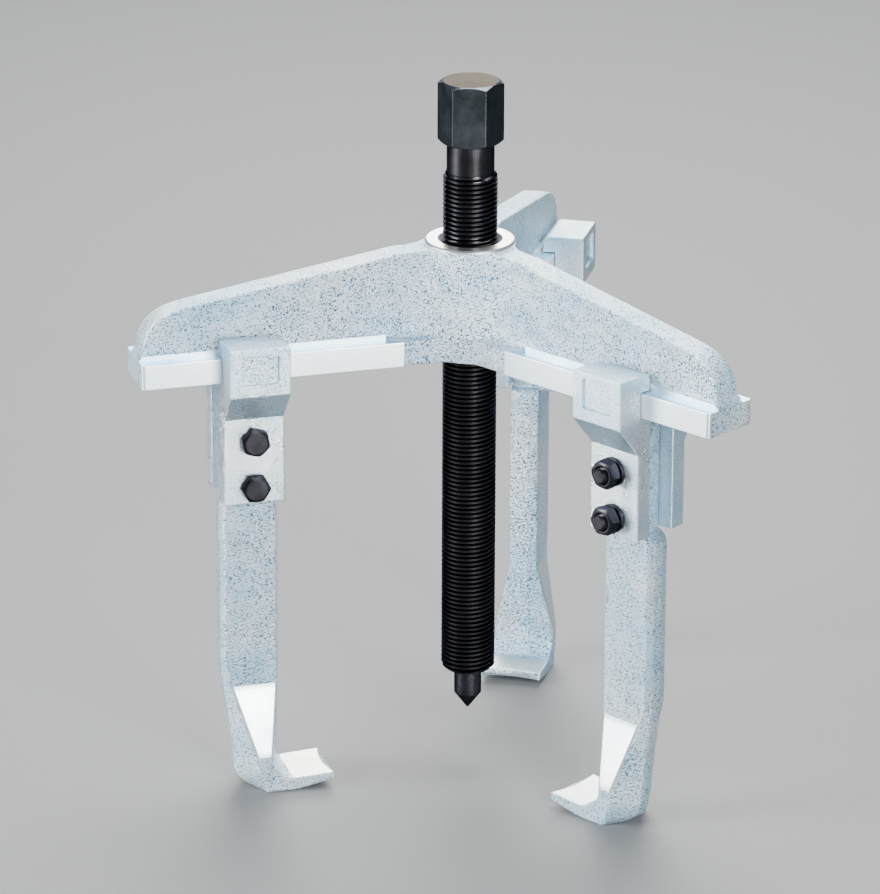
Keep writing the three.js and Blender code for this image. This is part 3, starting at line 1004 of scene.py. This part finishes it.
def panel_tool():
    """A rounded square punch with a little draft, for pressing the panel into the head."""
    bm = bmesh.new()
    middle = (panel_bottom + panel_top) / 2
    tall = (panel_top - panel_bottom) / 2
    bmesh.ops.create_cube(bm, size=2)
    bmesh.ops.scale(bm, vec=(panel_half, panel_depth, tall), verts=bm.verts)
    uprights = [edge for edge in bm.edges if abs(edge.verts[0].co.y - edge.verts[1].co.y) > panel_depth]
    rounded_over(bm, uprights, panel_corner, 4)
    inner = [vert for vert in bm.verts if vert.co.y < 0]
    bmesh.ops.scale(bm, vec=(0.975, 1, 0.97), verts=inner)
    bmesh.ops.translate(bm, verts=bm.verts, vec=(0, cheek_head_face, middle))
    return bm


def cheek_mesh():
    """The left cheek, on the +Y side of its arm."""
    bm = bmesh.new()
    outline = (
        (cheek_lip, rail_top + 0.3), (cheek_lip, cheek_top), (cheek_head_face, cheek_top),
        (cheek_head_face, cheek_head_bottom), (cheek_plate_face, cheek_plate_top),
        (cheek_plate_face, cheek_plate_bottom), (cheek_inner, cheek_plate_bottom),
        (cheek_inner, -0.3), (rail_pocket, -0.3), (rail_pocket, rail_top + 0.3),
    )
    corners = [bm.verts.new((-cheek_half_width, across, height)) for across, height in outline]
    end = bm.faces.new(corners)
    grown = bmesh.ops.extrude_face_region(bm, geom=[end])["geom"]
    bmesh.ops.translate(bm, verts=verts_in(grown), vec=(2 * cheek_half_width, 0, 0))
    bmesh.ops.recalc_face_normals(bm, faces=bm.faces)

    def long_edges(across, height):
        return [
            edge for edge in bm.edges
            if all(abs(v.co.y - across) < 0.01 and abs(v.co.z - height) < 0.01 for v in edge.verts)
        ]

    rounded_over(bm, long_edges(cheek_lip, cheek_top), lip_edge, 6)
    soft = long_edges(cheek_head_face, cheek_top) + long_edges(cheek_head_face, cheek_head_bottom)
    soft += long_edges(cheek_plate_face, cheek_plate_bottom) + long_edges(cheek_inner, cheek_plate_bottom)
    soft += [
        edge for edge in bm.edges
        if all(abs(abs(v.co.x) - cheek_half_width) < 0.01 for v in edge.verts)
        and abs(edge.verts[0].co.x - edge.verts[1].co.x) < 0.01
        and not any(abs(v.co.y - rail_pocket) < 0.01 for v in edge.verts)
    ]
    rounded_over(bm, list(set(soft)), cheek_edge, 3, True)
    clean(bm)
    return bm


cheek = combined(cheek_mesh(), panel_tool(), "DIFFERENCE")
cheek = combined(cheek, across_holes(bolt_hole_radius, 30), "DIFFERENCE")
for face in cheek.faces:
    middle = face.calc_center_median()
    in_panel = abs(middle.x) < panel_half and panel_bottom < middle.z < panel_top
    if in_panel and cheek_head_face - panel_depth - 0.1 < middle.y < cheek_head_face - 0.01:
        face.material_index = 1
for name, place in jaws.items():
    for side, flip in (("left", 1), ("right", -1)):
        part = cheek.copy()
        if flip < 0:
            bmesh.ops.scale(part, vec=(1, -1, 1), verts=part.verts)
            bmesh.ops.recalc_face_normals(part, faces=part.faces)
        settle(part, f"jaw_{name}_clamp_{side}", f"jaw_{name}",
               [f"jaw_{name}_cheek_{side}"], place, [cheek_skin, cheek_panel], 38)
cheek.free()


# Clamp bolts, spring washers and nuts: M6, blackened. Each head lies on the left cheek, and the
# split washer and the nut are on the right one with a little of the bolt showing.
bolt_radius = 3
bolt_flats = 10
bolt_head = 4
bolt_pitch = 1
nut_height = 5
washer_thickness = 1.6
washer_radius = 5.6
washer_split = 12
bolt_projection = 1.3
seat_gap = 0.3
bolt_turns = {"a": (12, 28), "b": (40, 5), "c": (22, 50)}

black_bolt = oxide("black_bolt", (0.02, 0.02, 0.024), (0.042, 0.04, 0.05), (0.28, 0.4), 1500, 0.05)


def laid_across(bm, turn=0):
    """Turns a part drawn about Z by its own angle, then lays it along Y with its top to +Y."""
    spin = Matrix.Rotation(radians(-90), 3, "X") @ Matrix.Rotation(radians(turn), 3, "Z")
    bmesh.ops.rotate(bm, verts=bm.verts, cent=(0, 0, 0), matrix=spin)
    return bm


def bolt_mesh():
    seat = cheek_plate_face + seat_gap
    end = -(cheek_plate_face + washer_thickness + nut_height + 3 * seat_gap + bolt_projection)
    core = bolt_radius - 0.6
    profile = [(0, end), (core, end), (bolt_radius, end + 0.6)]
    height = end + 0.75
    while height < end + bolt_projection + nut_height * 0.5:
        profile += [
            (bolt_radius, height), (core, height + 0.4),
            (core, height + 0.5), (bolt_radius, height + 0.9),
        ]
        height += bolt_pitch
    profile += [(bolt_radius, height), (bolt_radius, seat + 1), (0, seat + 1)]
    shank = turned(profile, 32)
    head = hexagon(bolt_flats, seat, seat + bolt_head, 0, 0.85)
    return combined(shank, head, "UNION")


def nut_mesh():
    seat = -(cheek_plate_face + washer_thickness + 2 * seat_gap)
    nut = hexagon(bolt_flats, seat - nut_height, seat, 0, 0.6)
    hole = turned((
        (0, seat - nut_height - 1), (bolt_hole_radius + 1.5, seat - nut_height - 1),
        (bolt_hole_radius, seat - nut_height + 0.5), (bolt_hole_radius, seat + 1), (0, seat + 1),
    ), 48)
    return combined(nut, hole, "DIFFERENCE")


def washer_mesh():
    """A square wire bent round once, its two ends left a little apart."""
    bm = bmesh.new()
    outer = -(cheek_plate_face + seat_gap)
    start = radians(washer_split / 2)
    wire = (
        (bolt_hole_radius, outer), (washer_radius, outer),
        (washer_radius, outer - washer_thickness), (bolt_hole_radius, outer - washer_thickness),
    )
    points = [bm.verts.new((r * cos(start), r * sin(start), z)) for r, z in wire]
    bm.faces.new(points)
    bmesh.ops.bevel(bm, geom=points, offset=0.2, affect="VERTICES", segments=2, profile=0.5, material=-1)
    bmesh.ops.spin(bm, geom=bm.faces[:], cent=(0, 0, 0), axis=(0, 0, 1), dvec=(0, 0, 0),
                   angle=2 * pi - 2 * start, steps=60, use_merge=False, use_duplicate=False)
    clean(bm)
    return bm


bolt, nut, washer = bolt_mesh(), nut_mesh(), washer_mesh()
for name, place in jaws.items():
    for index, (spot, height) in enumerate(bolt_heights.items()):
        turn = bolt_turns[name][index]
        seat = place @ Matrix.Translation((0, 0, height * mm))
        stack = ((bolt, "bolt", turn), (washer, "washer", 3 * turn), (nut, "nut", 2 * turn + 15))
        for part, label, own_turn in stack:
            settle(laid_across(part.copy(), own_turn), f"jaw_{name}_{label}_{spot}_black", f"jaw_{name}",
                   [f"jaw_{name}_{label}_{spot}"], seat, [black_bolt], 30)
for part in (bolt, nut, washer):
    part.free()
